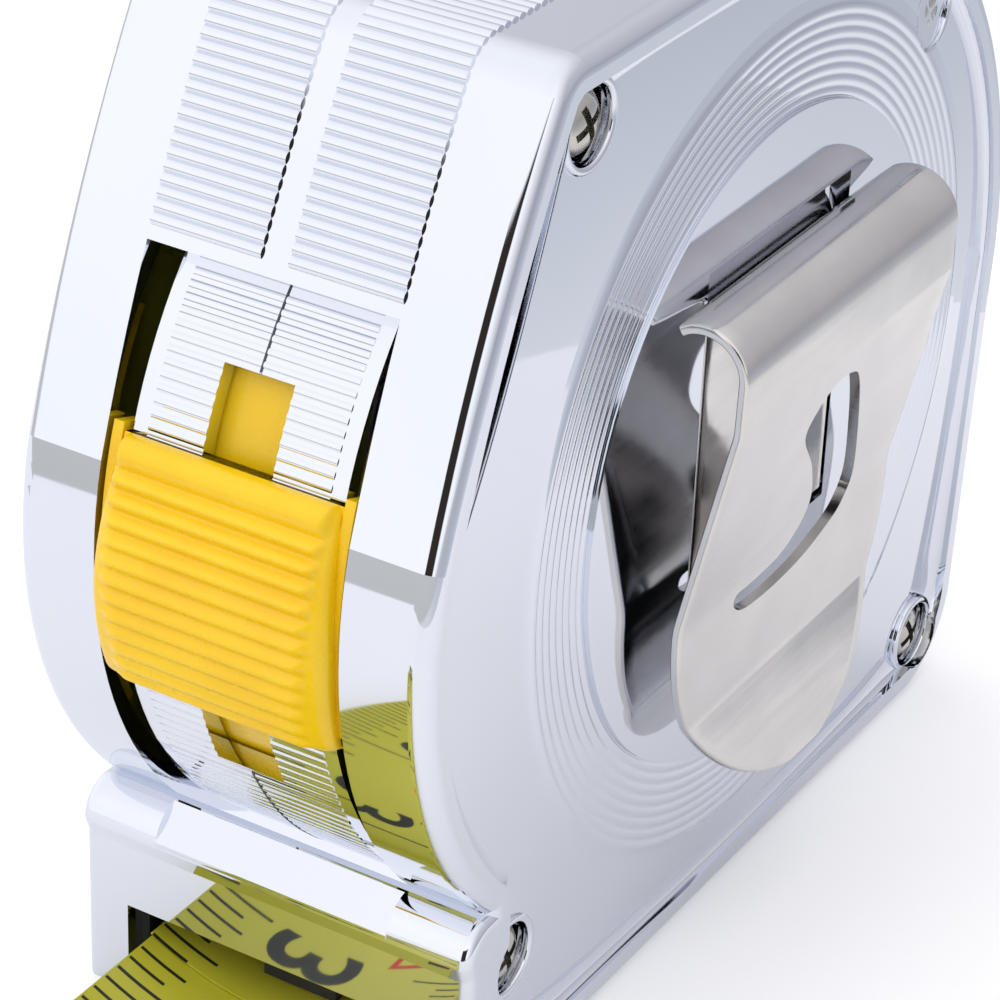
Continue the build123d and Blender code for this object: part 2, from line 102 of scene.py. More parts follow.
def ramp(tree, source, low, high, start=0.0, end=1.0):
    """The source mapped from start..end to low..high, numbers or colours alike."""
    if not isinstance(low, tuple):
        node = tree.nodes.new("ShaderNodeMapRange")
        node.inputs["From Min"].default_value = start
        node.inputs["From Max"].default_value = end
        node.inputs["To Min"].default_value = low
        node.inputs["To Max"].default_value = high
        tree.links.new(source, node.inputs["Value"])
        return node.outputs["Result"]
    node = tree.nodes.new("ShaderNodeValToRGB")
    node.color_ramp.elements[0].position = start
    node.color_ramp.elements[0].color = (*low, 1)
    node.color_ramp.elements[1].position = end
    node.color_ramp.elements[1].color = (*high, 1)
    tree.links.new(source, node.inputs["Fac"])
    return node.outputs["Color"]


def bump(tree, shader, height, strength, distance):
    node = tree.nodes.new("ShaderNodeBump")
    node.inputs["Strength"].default_value = strength
    node.inputs["Distance"].default_value = distance
    tree.links.new(height, node.inputs["Height"])
    tree.links.new(node.outputs["Normal"], shader.inputs["Normal"])


def chrome():
    """Bright plating on a moulding: almost a mirror, with faint waviness and hazy wipe marks."""
    mat, tree, shader = new_material("chrome_plate", (0.75, 0.78, 0.85), 1.0, 0.04)
    wipe = noise(tree, 60, 5, 0.6, (1, 0.35, 1.6), 0.6)
    tree.links.new(ramp(tree, wipe, 0.025, 0.075, 0.35, 0.75), shader.inputs["Roughness"])
    tint = noise(tree, 25, 2)
    tree.links.new(ramp(tree, tint, (0.73, 0.76, 0.83), (0.77, 0.795, 0.86), 0.3, 0.7),
                   shader.inputs["Base Color"])
    bump(tree, shader, noise(tree, 90, 2, 0.4), 0.05, 0.0002)
    return mat


def steel(name, colour, roughness, grain):
    """Bare or plated steel with a fine rolled grain."""
    mat, tree, shader = new_material(name, colour, 1.0, roughness)
    lines = noise(tree, 900, 3, 0.6, grain)
    cloud = noise(tree, 120, 3)
    tree.links.new(ramp(tree, lines, roughness * 0.75, roughness * 1.35, 0.3, 0.7),
                   shader.inputs["Roughness"])
    dark = tuple(c * 0.92 for c in colour)
    tree.links.new(ramp(tree, cloud, dark, colour, 0.35, 0.65), shader.inputs["Base Color"])
    bump(tree, shader, lines, 0.04, 0.0001)
    return mat


def plastic(name, colour, shade, roughness, grain=0.04):
    """Moulded plastic with slight tone and gloss changes and a fine spark-eroded grain."""
    mat, tree, shader = new_material(name, colour, 0.0, roughness)
    cloud = noise(tree, 150, 3)
    tree.links.new(ramp(tree, cloud, shade, colour, 0.3, 0.65), shader.inputs["Base Color"])
    tree.links.new(ramp(tree, noise(tree, 400, 3), roughness * 0.85, roughness * 1.2, 0.3, 0.7),
                   shader.inputs["Roughness"])
    bump(tree, shader, noise(tree, 2500, 2), grain, 0.0002)
    return mat


def blade_enamel():
    """Olive-yellow enamel on the blade, with faint lengthwise rolling lines."""
    mat, tree, shader = new_material("blade_enamel", (0.50, 0.47, 0.03), 0.0, 0.32)
    cloud = noise(tree, 40, 4, 0.6, (1, 0.3, 1))
    tree.links.new(ramp(tree, cloud, (0.47, 0.44, 0.022), (0.56, 0.53, 0.045), 0.3, 0.7),
                   shader.inputs["Base Color"])
    bump(tree, shader, noise(tree, 1500, 2, 0.5, (1, 0.05, 1)), 0.05, 0.0001)
    return mat


CHROME = chrome()
SCREW = steel("screw_nickel", (0.62, 0.60, 0.55), 0.22, (1, 1, 1))
SPRING = steel("clip_steel", (0.72, 0.70, 0.685), 0.16, (1, 0.08, 1))
DARK_STEEL = steel("blued_steel", (0.12, 0.12, 0.14), 0.35, (1, 0.1, 1))
HOOK = steel("hook_steel", (0.66, 0.66, 0.65), 0.24, (0.1, 1, 1))
YELLOW = plastic("lock_yellow", (0.96, 0.63, 0.006), (0.93, 0.58, 0.004), 0.28)
BLACK = plastic("mouth_black", (0.012, 0.012, 0.013), (0.008, 0.008, 0.009), 0.5)
INNER = plastic("inner_moulding", (0.62, 0.61, 0.57), (0.55, 0.54, 0.50), 0.45)
RUBBER = plastic("pad_rubber_grey", (0.03, 0.03, 0.03), (0.02, 0.02, 0.02), 0.8, 0.1)
SEAM = plastic("seam_grey", (0.10, 0.10, 0.11), (0.07, 0.07, 0.08), 0.5)
LABEL = steel("trim_satin", (0.66, 0.67, 0.69), 0.3, (1, 1, 1))
ENAMEL = blade_enamel()
INK = plastic("ink_black", (0.012, 0.014, 0.008), (0.02, 0.022, 0.01), 0.45)
RED_INK = plastic("ink_red", (0.65, 0.03, 0.015), (0.55, 0.025, 0.012), 0.45)

LOOKS = {
    "case_half_left": CHROME, "case_half_right": CHROME, "case_screws": SCREW, "centre_post": SCREW,
    "mouth_lining": BLACK, "label_disc": LABEL, "belt_clip_leg": SPRING, "belt_clip_leaf": SPRING,
    "blade_run": ENAMEL, "blade_coil": ENAMEL, "blade": ENAMEL, "reel_drum": INNER, "drum_cover": INNER,
    "power_spring": DARK_STEEL, "spring_pin": SCREW, "reel_washer_left": INNER, "reel_washer_right": INNER,
    "hook_rivets": SCREW, "end_hook": HOOK, "lock_slider": YELLOW, "lock_carrier": YELLOW,
    "brake_lever": BLACK, "brake_pad": RUBBER,
}
for name, mat in LOOKS.items():
    data = frame["nodes"][name].data
    data.materials.clear()
    data.materials.append(mat)


# ---------------------------------------------------------------- building helpers

def add_mesh(name, verts, faces, mat, body, smooth=True):
    """A mesh piece from points in millimetres, riding on a body unless it is None."""
    data = bpy.data.meshes.new(name)
    data.from_pydata([(x * MM, y * MM, z * MM) for x, y, z in verts], [], faces)
    data.validate()
    data.materials.append(mat)
    for poly in data.polygons:
        poly.use_smooth = smooth
    piece = bpy.data.objects.new(name, data)
    bpy.context.scene.collection.objects.link(piece)
    if body:
        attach(piece, body)
    return piece


def blade_top(x):
    """Height of the blade's printed face at a distance from its middle, in millimetres."""
    inner = BLADE_CURVE_R - BLADE_T
    return BLADE_Z + BLADE_CURVE_R - math.sqrt(inner ** 2 - x ** 2)


INK_LIFT = 0.012                 # how far the ink stands above the enamel
INK_DEPTH = 0.03
INK_STEP = 0.8                   # spacing of the points along a printed line


def marks_piece(name, bars, mat, body="blade", lift=0.0):
    """Printed bars on the blade: each is a thin closed strip (x low, x high, y middle, width)."""
    verts, faces = [], []
    for low, high, y, width in bars:
        steps = max(2, int(abs(high - low) / INK_STEP) + 1)
        base = len(verts)
        for i in range(steps + 1):
            x = low + (high - low) * i / steps
            z = blade_top(x) + lift
            low_z, high_z = INK_LIFT - INK_DEPTH, INK_LIFT
            for dy, dz in ((-0.5, high_z), (0.5, high_z), (0.5, low_z), (-0.5, low_z)):
                verts.append((x, y + dy * width, z + dz))
        for i in range(steps):
            a = base + 4 * i
            for k in range(4):
                n = (k + 1) % 4
                faces.append((a + k, a + n, a + 4 + n, a + 4 + k))
        faces.append((base + 3, base + 2, base + 1, base))
        end = base + 4 * steps
        faces.append((end, end + 1, end + 2, end + 3))
    add_mesh(name, verts, faces, mat, body, smooth=False)


INCH = 25.4
THREE_LINE_Y = -47.65            # the full-width line of the third inch
SCALE_ZERO_Y = THREE_LINE_Y - 3 * INCH
TICK_EDGE = BLADE_HALF - 0.25    # where the ticks start, just inside the blade's edges
LINE_WIDTH, INCH_TICK_WIDTH, METRIC_TICK_WIDTH = 0.34, 0.32, 0.2


def inch_ticks(low_y, high_y):
    """Sixteenth-inch ticks along the left edge, longer at the eighths, quarters and halves."""
    bars = []
    for i in range(3, 60):
        y = SCALE_ZERO_Y + i * INCH / 16
        if i % 16 == 0 or not low_y < y < high_y:
            continue
        length = 6.4 if i % 8 == 0 else 5.3 if i % 4 == 0 else 4.4 if i % 2 == 0 else 3.4
        bars.append((-TICK_EDGE, -TICK_EDGE + length, y, INCH_TICK_WIDTH))
    return bars


def inch_lines():
    """The lines right across the blade at the whole inches."""
    return [(-TICK_EDGE, TICK_EDGE, SCALE_ZERO_Y + i * INCH, LINE_WIDTH) for i in (1, 2, 3)]


def metric_ticks(low_y, high_y):
    """Millimetre ticks along the right edge, longer at the fives and tens."""
    bars = []
    for i in range(5, 92):
        y = SCALE_ZERO_Y + i
        if not low_y < y < high_y:
            continue
        length = 5.2 if i % 10 == 0 else 3.8 if i % 5 == 0 else 2.4
        bars.append((TICK_EDGE - length, TICK_EDGE, y, METRIC_TICK_WIDTH))
    return bars


CAP_HEIGHT = 0.7                 # height of a figure against the font's size
INK_SPREAD = 0.00018             # how much a figure 8 mm high is fattened, in metres
INCH_FIGURE = (-1.4, -4.6, 8.0)  # a figure's place across the blade, its step from its line, its height
METRIC_FIGURE = (5.6, -1.9, 2.8)


def figure(name, text, line_y, layout, mat):
    """A printed figure laid on the hollow blade, reading across it."""
    x, step, height = layout
    y = line_y + step
    curve = bpy.data.curves.new(name, "FONT")
    curve.body = text
    curve.size = height / CAP_HEIGHT * MM
    curve.align_x = "CENTER"
    curve.align_y = "CENTER"
    curve.offset = INK_SPREAD * height / 8
    curve.extrude = INK_DEPTH / 2 * MM
    curve.resolution_u = 6
    text_object = bpy.data.objects.new(name + "_text", curve)
    bpy.context.scene.collection.objects.link(text_object)
    bpy.context.view_layer.update()
    data = bpy.data.meshes.new_from_object(text_object)
    bpy.data.objects.remove(text_object)
    data.transform(Matrix.Translation((x * MM, y * MM, 0)) @ Matrix.Rotation(math.radians(90), 4, "Z"))
    work = bmesh.new()
    work.from_mesh(data)
    bmesh.ops.remove_doubles(work, verts=work.verts, dist=1e-6)
    for cut in range(-12, 13):   # cuts 1 mm apart, so that the figure can follow the hollow blade
        geometry = work.verts[:] + work.edges[:] + work.faces[:]
        bmesh.ops.bisect_plane(work, geom=geometry, plane_co=(cut * MM, 0, 0), plane_no=(1, 0, 0))
    for vert in work.verts:
        vert.co.z += (blade_top(vert.co.x / MM) + INK_LIFT - INK_DEPTH / 2) * MM
    work.to_mesh(data)
    work.free()
    data.materials.clear()
    data.materials.append(mat)
    piece = bpy.data.objects.new(name, data)
    bpy.context.scene.collection.objects.link(piece)
    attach(piece, "blade")


def blade_print():
    """All the print: on the sliding blade, and on the fixed stretch just inside the mouth."""
    out_in = (HOOK_Y, RUN_MOUTH_Y)
    inside = (RUN_MOUTH_Y, RUN_FLAT_Y)
    marks_piece("inch_ticks", inch_ticks(*out_in), INK)
    marks_piece("inch_lines", inch_lines(), INK)
    marks_piece("metric_ticks", metric_ticks(*out_in), INK)
    marks_piece("inch_ticks_inside", inch_ticks(*inside), INK, "case", RUN_LIFT)
    marks_piece("metric_ticks_inside", metric_ticks(*inside), INK, "case", RUN_LIFT)
    for i in (1, 2, 3):
        figure(f"inch_figure_{i}", str(i), SCALE_ZERO_Y + i * INCH, INCH_FIGURE, INK)
    for i in range(1, 8):
        figure(f"metric_figure_{i}", str(i), SCALE_ZERO_Y + i * 10, METRIC_FIGURE, RED_INK)


blade_print()


# ---------------------------------------------------------------- dished chrome sides

def arc_points(centre, radius, start, end, count):
    """Points along an arc between two angles in degrees."""
    turns = [math.radians(start + (end - start) * i / count) for i in range(count + 1)]
    return [(centre[0] + radius * math.cos(t), centre[1] + radius * math.sin(t)) for t in turns]


def round_corner(before, corner, after, radius, count=14):
    """Points of the round that fits into a corner between two straights."""
    c = Vector(corner)
    u = (Vector(before) - c).normalized()
    v = (Vector(after) - c).normalized()
    half = u.angle(v) / 2
    middle = c + (u + v).normalized() * (radius / math.sin(half))
    start = c + u * (radius / math.tan(half)) - middle
    end = c + v * (radius / math.tan(half)) - middle
    points = []
    for i in range(count + 1):
        ray = start.slerp(end, i / count)
        points.append(tuple(middle + ray.normalized() * radius))
    return points


def bowed(start, end, bow, count=20):
    """Points along a shallow arc that bows out to the right of its way."""
    a, b = Vector(start), Vector(end)
    out = Vector((b.y - a.y, a.x - b.x)).normalized()
    return [tuple(a.lerp(b, i / count) + out * bow * (1 - (2 * i / count - 1) ** 2))
            for i in range(count + 1)]


def side_outline():
    """The case's outline in (y, z), round from the back of the crown over the top and down the front."""
    def bulge_turn(point):
        return math.degrees(math.atan2(point[1] - BULGE_Z, point[0] - BULGE_Y)) % 360

    points = arc_points((0, AXLE_Z), CROWN_R, 0, 90, 60)
    points += round_corner((0, TOP_Z), BROW, CREASE, BROW_R)
    points += [q for q in bowed(BROW, CREASE, -FACE_BOW) if q[1] < TOP_Z - 5]
    points += arc_points((BULGE_Y, BULGE_Z), BULGE_R, bulge_turn(CREASE), bulge_turn(VALLEY), 50)[1:]
    points += [(VALLEY[0], 0.0)]
    points += round_corner((VALLEY[0], 0), FOOT, (CROWN_R, AXLE_Z), FOOT_R)
    return points


def reach(outline, turn):
    """How far a ray from the axle goes before it meets the outline."""
    ray = Vector((math.cos(turn), math.sin(turn)))
    best = None
    for i, a in enumerate(outline):
        b = outline[(i + 1) % len(outline)]
        ay, az, by, bz = a[0], a[1] - AXLE_Z, b[0], b[1] - AXLE_Z
        ey, ez = by - ay, bz - az
        den = ray.x * ez - ray.y * ey
        if abs(den) < 1e-9:
            continue
        far = (ay * ez - az * ey) / den
        part = (ay * ray.y - az * ray.x) / den
        if far > 0 and -1e-6 <= part <= 1 + 1e-6 and (best is None or far < best):
            best = far
    return best


def smooth_reach(outline, inset, count):
    """Reach of the outline moved in by a distance, for evenly spaced turns about the axle."""
    far = [reach(outline, 2 * math.pi * i / count) for i in range(count)]
    result = []
    step = 2 * math.pi / count
    for i in range(count):
        rise = (far[(i + 1) % count] - far[i - 1]) / (2 * step)
        result.append(far[i] - inset * math.sqrt(1 + (rise / far[i]) ** 2))
    return result


BOSS_R, RING_R, DISH_R = 28.2, 36.0, 52.0
RING_X, DISH_X = 17.75, 17.0
RINGS, RING_RISE = 8, 0.13       # fine turned rings between the boss and the plain part
SKIN_LIFT, SKIN_T = 0.06, 0.25   # how far the sheet lies above the CAD's side, and its thickness
DISH_FALL = 0.95                 # share of the CAD's fall that the sheet follows
SKIN_START = 0.02                # gap between the boss and the sheet's inner edge
RIM_INSET, COVE, COVE_X = 2.55, 3.2, 18.2       # the hollow curve that rises to the rim bead
HOLE_CUT_X, HOLE_CUT_DEPTH = 17.5, 6.0          # middle and length of the screw holes' cutters
LIP_R, LIP_X = 3.42, 17.42                      # middle of a screw lip's rounded top
LIP_HALF, LIP_RISE = 0.38, 0.30                 # half width and rise of that top
LIP_FOOT_X = 16.9                               # where a lip's two sides end


def dish_height(r, far):
    """How far out the dished side stands at a distance from the axle."""
    if r <= RING_R:
        phase = (r - BOSS_R) / (RING_R - BOSS_R) * RINGS
        return RING_X + SKIN_LIFT + RING_RISE * abs(math.sin(math.pi * phase)) ** 0.7
    fall = min(1.0, (r - RING_R) / (DISH_R - RING_R))
    x = RING_X + SKIN_LIFT - (RING_X - DISH_X) * (1 - (1 - fall) ** 2) * DISH_FALL
    near = (r - (far - COVE)) / COVE
    if near > 0:
        x += (COVE_X - x) * (1 - math.sqrt(max(0.0, 1 - near ** 2)))
    return x


def side_skin(name, side):
    """The plated dish of one side: a thin closed sheet with turned rings, coved up to the rim."""
    count, ringed, plain, coved = 540, RINGS * 6, 12, 14
    far = smooth_reach(side_outline(), RIM_INSET, count)
    rows = []
    for i in range(count):
        turn = 2 * math.pi * i / count
        edge = far[i] - COVE
        radii = [BOSS_R + SKIN_START + (RING_R - BOSS_R) * k / ringed for k in range(ringed + 1)]
        radii += [RING_R + (edge - RING_R) * (k + 1) / plain for k in range(plain)]
        radii += [far[i] - COVE * math.cos(math.pi / 2 * (k + 1) / coved) for k in range(coved)]
        rows.append([(side * dish_height(r, far[i]), r * math.cos(turn), AXLE_Z + r * math.sin(turn))
                     for r in radii])
    width = len(rows[0])
    verts = [v for row in rows for v in row]
    verts += [(v[0] - side * SKIN_T, v[1], v[2]) for row in rows for v in row]
    under = count * width
    faces = []
    for i in range(count):
        n = (i + 1) % count
        for k in range(width - 1):
            quad = (i * width + k, i * width + k + 1, n * width + k + 1, n * width + k)
            faces.append(quad if side > 0 else quad[::-1])
            back = tuple(under + q for q in quad)
            faces.append(back[::-1] if side > 0 else back)
        for k in (0, width - 1):
            quad = (i * width + k, n * width + k, under + n * width + k, under + i * width + k)
            faces.append(quad if (k == 0) != (side > 0) else quad[::-1])
    piece = add_mesh(name, verts, faces, CHROME, "case")
    if side > 0:
        cut_screw_holes(piece)


def cut_screw_holes(piece):
    """Cut the round screw recesses out of the right side's sheet."""
    radius = HOLE_R * MM
    work = bmesh.new()
    for y, z in SCREWS:
        place = Matrix.Translation((HOLE_CUT_X * MM, y * MM, z * MM))
        turn = place @ Matrix.Rotation(math.pi / 2, 4, "Y")
        bmesh.ops.create_cone(work, cap_ends=True, segments=64, radius1=radius, radius2=radius,
                              depth=HOLE_CUT_DEPTH * MM, matrix=turn)
    data = bpy.data.meshes.new("hole_cutter")
    work.to_mesh(data)
    work.free()
    cut_with(piece, data)


def cut_with(piece, data):
    """Cut a solid out of a piece, and keep the result as the piece's own mesh."""
    cutter = bpy.data.objects.new("cutter", data)
    bpy.context.scene.collection.objects.link(cutter)
    modifier = piece.modifiers.new("cut", "BOOLEAN")
    modifier.operation = "DIFFERENCE"
    modifier.solver = "EXACT"
    modifier.object = cutter
    graph = bpy.context.evaluated_depsgraph_get()
    result = bpy.data.meshes.new_from_object(piece.evaluated_get(graph))
    piece.modifiers.clear()
    piece.data = result
    bpy.data.objects.remove(cutter)


def lathe(name, centre, profile):
    """A closed chrome ring about a line across the case, from a closed profile of (radius, x)."""
    verts, faces = [], []
    count, rows = 72, len(profile)
    for i in range(count):
        turn = 2 * math.pi * i / count
        for radius, x in profile:
            verts.append((x, centre[0] + radius * math.cos(turn), centre[1] + radius * math.sin(turn)))
    for i in range(count):
        n = (i + 1) % count
        for k in range(rows):
            m = (k + 1) % rows
            faces.append((i * rows + k, i * rows + m, n * rows + m, n * rows + k))
    add_mesh(name, verts, faces, CHROME, "case")


def screw_lips():
    """The thin rounded lip raised round each screw recess."""
    turns = [math.radians(a) for a in range(0, 181, 20)]
    top = [(LIP_R + LIP_HALF * math.cos(t), LIP_X + LIP_RISE * math.sin(t)) for t in turns]
    profile = [(LIP_R + LIP_HALF, LIP_FOOT_X)] + top + [(LIP_R - LIP_HALF, LIP_FOOT_X)]
    for i, centre in enumerate(SCREWS):
        lathe(f"screw_lip_{i}", centre, profile)


side_skin("side_skin_right", 1)
side_skin("side_skin_left", -1)
screw_lips()


# ---------------------------------------------------------------- thumb piece

# Angles are in degrees about the bulge's axis, and radii are from that axis
SLIDER_LOW, SLIDER_HIGH, SLIDER_BROW = -13.5, 18.2, 3.8         # its two ends, and its plain top
SLIDER_RIBS, SLIDER_DEPTH = 12, 0.62                            # how many ribs, and how deep
SLIDER_CREST, SLIDER_UNDER, SLIDER_EDGE = 39.15, 36.45, 0.8     # grip, underside, round of the sides
SLIDER_TOP_HALF, SLIDER_FLARE, SLIDER_FLARE_OVER = 9.7, 0.75, 18        # half width, and its growth
SLIDER_TOP_ROUND, SLIDER_LOW_ROUND = 1.1, 0.9                   # rounds at the two ends
SLIDER_ROWS, LEG_ROWS = 240, 24
LEG_HALF, LEG_T, LEG_OUTER_R, LEG_INNER_R = 10.7, 0.9, 36.6, 34.1


def slider_half(degrees):
    """Half width of the thumb piece, which is a little narrower at its top."""
    down = min(1.0, max(0.0, (SLIDER_HIGH - degrees) / SLIDER_FLARE_OVER))
    return SLIDER_TOP_HALF + SLIDER_FLARE * down


def slider_height(gap, degrees):
    """Radius of the grip surface about the bulge's axis, at a distance in from the piece's side."""
    pitch = (SLIDER_HIGH - SLIDER_BROW - SLIDER_LOW) / SLIDER_RIBS
    ribs = (degrees - SLIDER_LOW) / pitch
    end = 0.0
    if ribs > SLIDER_RIBS:
        phase = (degrees - SLIDER_HIGH + SLIDER_BROW) / SLIDER_BROW
        wave = math.sin(math.pi * min(phase, 0.5))
        end = SLIDER_TOP_ROUND * (1 - math.sqrt(max(0.0, 1 - max(0.0, (phase - 0.55) / 0.45) ** 2)))
    else:
        wave = (0.5 - 0.5 * math.cos(2 * math.pi * ribs)) ** 0.8
    end += SLIDER_LOW_ROUND * (1 - math.sqrt(max(0.0, 1 - max(0.0, 1 - ribs / 0.8) ** 2)))
    depth = SLIDER_DEPTH * (0.5 + 0.5 * min(1.0, max(0.0, (degrees + 9) / 16)))
    down = (SLIDER_HIGH - degrees) / (SLIDER_HIGH - SLIDER_LOW)
    shoulder = 0.6 + 2.0 * min(1.0, down * 1.25)
    inside = min(1.0, max(0.0, (gap - shoulder * 0.5) / (shoulder * 0.5)))
    inside = inside * inside * (3 - 2 * inside)
    dome = SLIDER_CREST - 0.0045 * (degrees - 1) ** 2
    height = dome - depth + depth * wave * inside
    height -= 0.4 * max(0.0, 1 - gap / (shoulder + 0.5)) ** 2
    edge = max(0.0, 1 - gap / SLIDER_EDGE)
    return height - SLIDER_EDGE * (1 - math.sqrt(max(0.0, 1 - edge ** 2))) - end


def thumb_piece():
    """The ribbed thumb piece as one soft moulded form, with its two legs."""
    gaps = [SLIDER_EDGE * (1 - math.cos(math.pi / 2 * i / 7)) for i in range(7)]
    rows = SLIDER_ROWS
    verts, faces = [], []

    def place(x, radius, degrees):
        turn = math.radians(degrees)
        return (x, BULGE_Y - radius * math.cos(turn), BULGE_Z + radius * math.sin(turn))

    for i in range(rows + 1):
        degrees = SLIDER_LOW + (SLIDER_HIGH - SLIDER_LOW) * i / rows
        half = slider_half(degrees)
        near = gaps + [SLIDER_EDGE + (half - SLIDER_EDGE) * k / 32 for k in range(33)]
        left = [(-half + gap, slider_height(gap, degrees)) for gap in near]
        right = [(-x, height) for x, height in reversed(left[:-1])]
        loop = left + right + [(half, SLIDER_UNDER), (-half, SLIDER_UNDER)]
        verts += [place(x, height, degrees) for x, height in loop]
        width = len(loop)
    for i in range(rows):
        for k in range(width):
            m = (k + 1) % width
            faces.append((i * width + k, i * width + m, (i + 1) * width + m, (i + 1) * width + k))
    faces.append(tuple(reversed(range(width))))
    faces.append(tuple(rows * width + k for k in range(width)))
    for low in (-LEG_HALF, LEG_HALF - LEG_T):
        high = low + LEG_T
        corners = ((low, LEG_OUTER_R), (high, LEG_OUTER_R), (high, LEG_INNER_R), (low, LEG_INNER_R))
        base = len(verts)
        for i in range(LEG_ROWS + 1):
            degrees = SLIDER_LOW + 2 + (SLIDER_HIGH - SLIDER_LOW - 1) * i / LEG_ROWS
            verts += [place(x, radius, degrees) for x, radius in corners]
        for i in range(LEG_ROWS):
            a = base + 4 * i
            for k in range(4):
                m = (k + 1) % 4
                faces.append((a + k, a + m, a + 4 + m, a + 4 + k))
        faces.append((base + 3, base + 2, base + 1, base))
        end = base + 4 * LEG_ROWS
        faces.append((end, end + 1, end + 2, end + 3))
    piece = add_mesh("thumb_piece", verts, faces, YELLOW, "lock")
    edges = piece.modifiers.new("split", "EDGE_SPLIT")
    edges.split_angle = math.radians(60)
    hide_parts("lock_slider")


thumb_piece()


SEAM_HALF, SEAM_LIFT = 0.05, 0.03
BAR_R, BAND_LOW_Z = 36.0, 70.0   # radius of the reeded bar, and where the band's seam stops


def seam_line(name, points, depth):
    """The fine dark line where the halves meet, standing just proud of a row of (y, z, out y, out z)."""
    corners = ((-SEAM_HALF, SEAM_LIFT), (SEAM_HALF, SEAM_LIFT), (SEAM_HALF, -depth), (-SEAM_HALF, -depth))
    verts, faces = [], []
    for y, z, oy, oz in points:
        for x, lift in corners:
            verts.append((x, y + oy * lift, z + oz * lift))
    for i in range(len(points) - 1):
        for k in range(4):
            m = (k + 1) % 4
            faces.append((4 * i + k, 4 * i + m, 4 * i + 4 + m, 4 * i + 4 + k))
    faces.append((3, 2, 1, 0))
    end = 4 * (len(points) - 1)
    faces.append((end, end + 1, end + 2, end + 3))
    add_mesh(name, verts, faces, SEAM, "case", smooth=False)


def seam_lines():
    """The seam above and below the thumb piece's track, and over the crown."""
    def on_bar(low, high):
        turns = [math.radians(low + (high - low) * i / 24) for i in range(25)]
        return [(BULGE_Y - BAR_R * math.cos(t), BULGE_Z + BAR_R * math.sin(t), -math.cos(t), math.sin(t))
                for t in turns]

    seam_line("seam_bar_top", on_bar(29.6, 41.5), 0.4)
    seam_line("seam_bar_low", on_bar(-45.0, -27.2), 0.4)
    row = [q for q in side_outline() if q[1] > BAND_LOW_Z]
    points = []
    for a, b in zip(row, row[1:]):
        step = Vector(b) - Vector(a)
        if step.length > 0.01:
            out = Vector((step.y, -step.x)).normalized()
            points.append((a[0], a[1], out.x, out.y))
    seam_line("seam_band", points, 0.3)


seam_lines()


# ---------------------------------------------------------------- belt clip

# Places are (x, z), except in CLIP_SLOT, which is in (y, z)
CLIP_BEND, CLIP_BEND_R, CLIP_T, CLIP_HALF = (21.45, 57.45), 3.6, 0.9, 18.2
CLIP_LEG_HALF, CLIP_LEG_LOW, CLIP_END_Z = 11.5, 33.0, 32.7      # below CLIP_END_Z the leaf is round
CLIP_LEG_ROWS, CLIP_WIDEN_X, CLIP_WIDEN = 72, 18.85, 0.55       # where the narrow leg grows to full width
CLIP_SOFT, CLIP_SOFT_TURNS = 0.28, (0.52, 1.05, 1.57)           # round of the strip's edges
CLIP_CUT_X = (19.3, 30.0)                                       # how deep the tongue's slot is cut
CLIP_RUN = [((24.95, 53.0), 3.0), ((20.85, 34.0), 9.0), ((20.9, 23.9), 3.0)]
CLIP_TIP = (23.93, 14.7)
CLIP_SLOT = [(1.8, 50.1), (4.0, 48.4), (7.5, 42.2), (10.2, 36.0), (9.4, 33.4), (6.2, 32.1), (2.0, 31.2),
             (-3.0, 30.9), (-7.4, 31.2), (-9.2, 32.2), (-8.9, 33.2), (-6.6, 33.2), (-1.6, 33.5),
             (1.1, 35.0), (1.7, 37.7), (-0.6, 42.0), (-4.2, 46.3), (-3.6, 48.6), (-1.2, 50.2)]


def clip_path():
    """Middle of the strip in (x, z): up the leg, over the bend, down the leaf to the flared lip."""
    points = [(CLIP_BEND[0] - CLIP_BEND_R, CLIP_LEG_LOW + 24.0 * i / 24) for i in range(25)]
    points += arc_points(CLIP_BEND, CLIP_BEND_R, 180, 2, 44)
    before = (CLIP_BEND[0] + CLIP_BEND_R, 57.0)
    for i, (corner, radius) in enumerate(CLIP_RUN):
        after = CLIP_RUN[i + 1][0] if i + 1 < len(CLIP_RUN) else CLIP_TIP
        turn = round_corner(before, corner, after, radius, 8)
        straight = Vector(turn[0]) - Vector(points[-1])
        count = max(2, int(straight.length / 0.8))
        points += [tuple(Vector(points[-1]).lerp(Vector(turn[0]), k / count)) for k in range(1, count)]
        points += turn
        before = corner
    last = Vector(points[-1])
    points += [tuple(last.lerp(Vector(CLIP_TIP), 1 - (1 - k / 24) ** 2)) for k in range(1, 25)]
    return points


def clip_half(index, point):
    """Half width of the strip at a row of its path."""
    x, z = point
    if index < CLIP_LEG_ROWS and x < CLIP_BEND[0]:
        step = min(1.0, max(0.0, (x - CLIP_WIDEN_X) / CLIP_WIDEN))
        return CLIP_LEG_HALF + (CLIP_HALF - CLIP_LEG_HALF) * step
    if z < CLIP_END_Z:
        return math.sqrt(max(0.04, CLIP_HALF ** 2 - (CLIP_END_Z - z) ** 2))
    return CLIP_HALF


def smooth_loop(points, steps):
    """A closed smooth curve through points."""
    result = []
    count = len(points)
    for i in range(count):
        a, b, c, d = (Vector(points[(i + k) % count]) for k in (-1, 0, 1, 2))
        for k in range(steps):
            t = k / steps
            result.append(0.5 * (2 * b + (c - a) * t + (2 * a - 5 * b + 4 * c - d) * t ** 2
                                 + (3 * b - a - 3 * c + d) * t ** 3))
    return result


